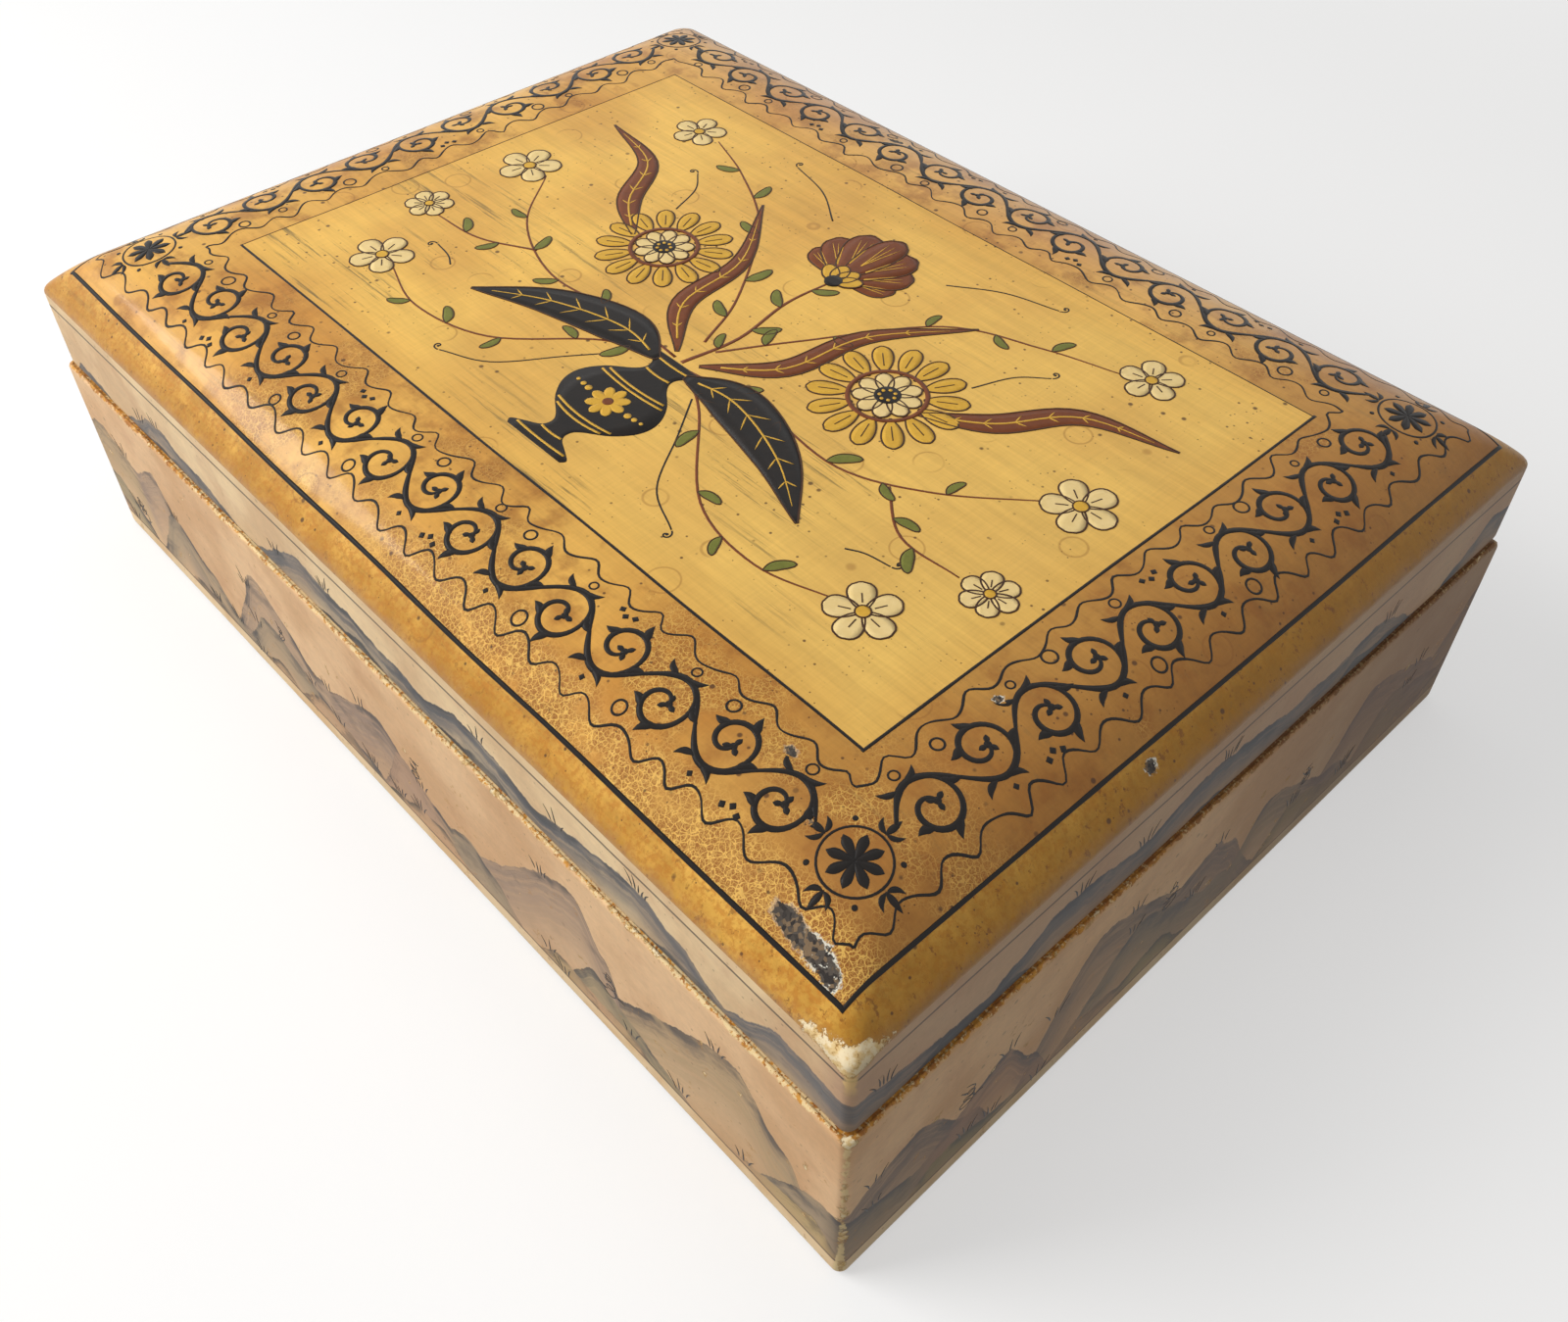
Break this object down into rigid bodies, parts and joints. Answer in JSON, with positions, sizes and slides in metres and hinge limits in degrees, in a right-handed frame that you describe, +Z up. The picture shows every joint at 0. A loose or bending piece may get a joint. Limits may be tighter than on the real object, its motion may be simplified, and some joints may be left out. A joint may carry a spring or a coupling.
{
  "type": "wooden jewelry box",
  "caption": "Rectangular wooden jewelry box with a painted lacquer finish, dovetailed walls and a cushion-topped lid on brass butt hinges at the back.",
  "frame": {"origin": "centre of the underside, on the surface that the box stands on", "axes": "+X along the long front to the right, +Y from the front to the hinged back, +Z up"},
  "size_m": [0.3, 0.221, 0.0943],
  "materials": {
    "painted_wall": "painted, varnished, worn",
    "painted_rail": "painted, varnished, worn",
    "gold_lacquer": "glossy lacquer, crazed",
    "bare_wood": "planed, stained",
    "peg_wood": "end grain",
    "hinge_brass": "aged",
    "pin_brass": "worn bright",
    "screw_brass": "aged"
  },
  "bodies": {
    "base": {"base_front_wall": "painted_wall", "base_back_wall": "painted_wall", "base_left_wall": "painted_wall", "base_right_wall": "painted_wall", "base_bottom_board": "bare_wood", "bottom_peg_1": "peg_wood", "bottom_peg_2": "peg_wood", "bottom_peg_3": "peg_wood", "bottom_peg_4": "peg_wood", "bottom_peg_5": "peg_wood", "bottom_peg_6": "peg_wood", "bottom_peg_7": "peg_wood", "bottom_peg_8": "peg_wood", "bottom_peg_9": "peg_wood", "bottom_peg_10": "peg_wood", "left_hinge_base_leaf": "hinge_brass", "right_hinge_base_leaf": "hinge_brass", "left_hinge_pin": "pin_brass", "right_hinge_pin": "pin_brass", "left_hinge_base_screw_1": "screw_brass", "left_hinge_base_screw_2": "screw_brass", "left_hinge_base_screw_3": "screw_brass", "right_hinge_base_screw_1": "screw_brass", "right_hinge_base_screw_2": "screw_brass", "right_hinge_base_screw_3": "screw_brass"},
    "lid": {"lid_front_rail": "painted_rail", "lid_back_rail": "painted_rail", "lid_left_rail": "painted_rail", "lid_right_rail": "painted_rail", "lid_top_board": "gold_lacquer", "left_hinge_lid_leaf": "hinge_brass", "right_hinge_lid_leaf": "hinge_brass", "left_hinge_lid_screw_1": "screw_brass", "left_hinge_lid_screw_2": "screw_brass", "left_hinge_lid_screw_3": "screw_brass", "right_hinge_lid_screw_1": "screw_brass", "right_hinge_lid_screw_2": "screw_brass", "right_hinge_lid_screw_3": "screw_brass"}
  },
  "joints": [
    {"name": "lid_hinge", "type": "hinge", "parent": "base", "child": "lid", "pos_m": [0, 0.1079, 0.05815], "axis": [-1, 0, 0], "range_deg": [0, 98]}
  ]
}
